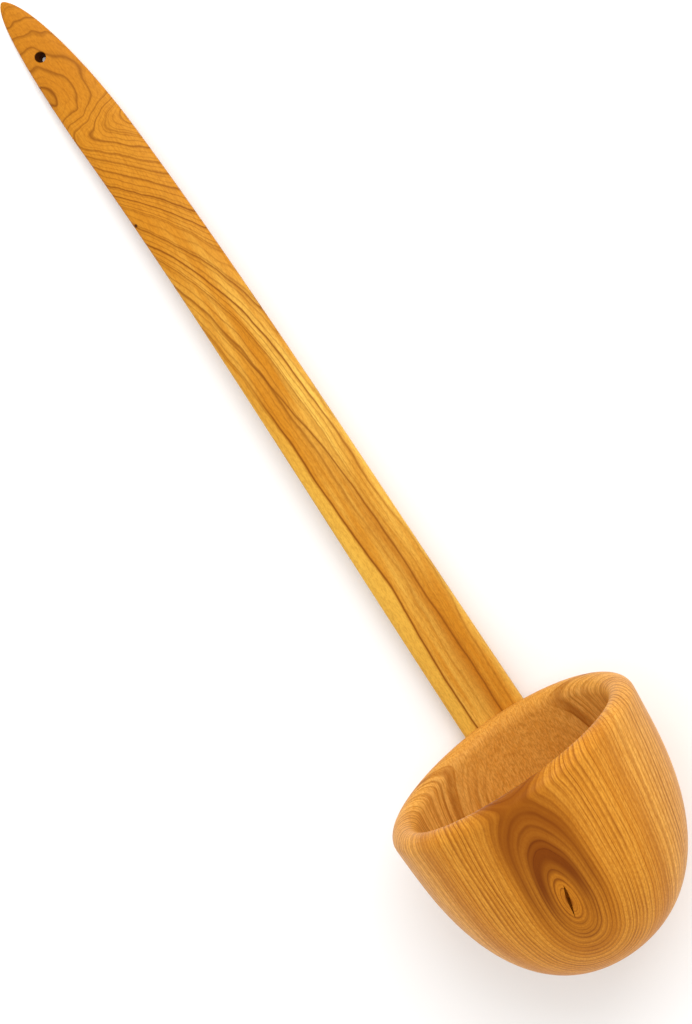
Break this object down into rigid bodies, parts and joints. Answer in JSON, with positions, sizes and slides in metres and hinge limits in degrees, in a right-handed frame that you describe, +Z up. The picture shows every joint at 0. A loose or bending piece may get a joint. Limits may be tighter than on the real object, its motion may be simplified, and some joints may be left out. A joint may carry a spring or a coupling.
{
  "type": "wooden ladle",
  "caption": "Plain oiled wooden ladle lying on its back: a deep oval cup with a thick rounded lip, and a long flat handle that curves gently back to a pointed tip with a hanging hole.",
  "frame": {"origin": "middle of the bounding box's base, on the surface that the ladle lies on", "axes": "+Z up from that surface, +X along the ladle from the tip of the handle to the bottom of the cup, +Y sideways; the mouth of the cup faces -X and slightly up"},
  "size_m": [0.377, 0.0912, 0.0931],
  "materials": {
    "cup_wood": "orange-brown fruitwood with close oval growth rings, clear oiled satin",
    "handle_wood": "golden yellow wood with a few fine brown growth lines, clear oiled satin",
    "peg_wood": "pale end grain, clear oiled satin"
  },
  "bodies": {
    "root": {"bowl": "cup_wood", "handle": "handle_wood", "upper_peg": "peg_wood", "lower_peg": "peg_wood"}
  },
  "joints": []
}
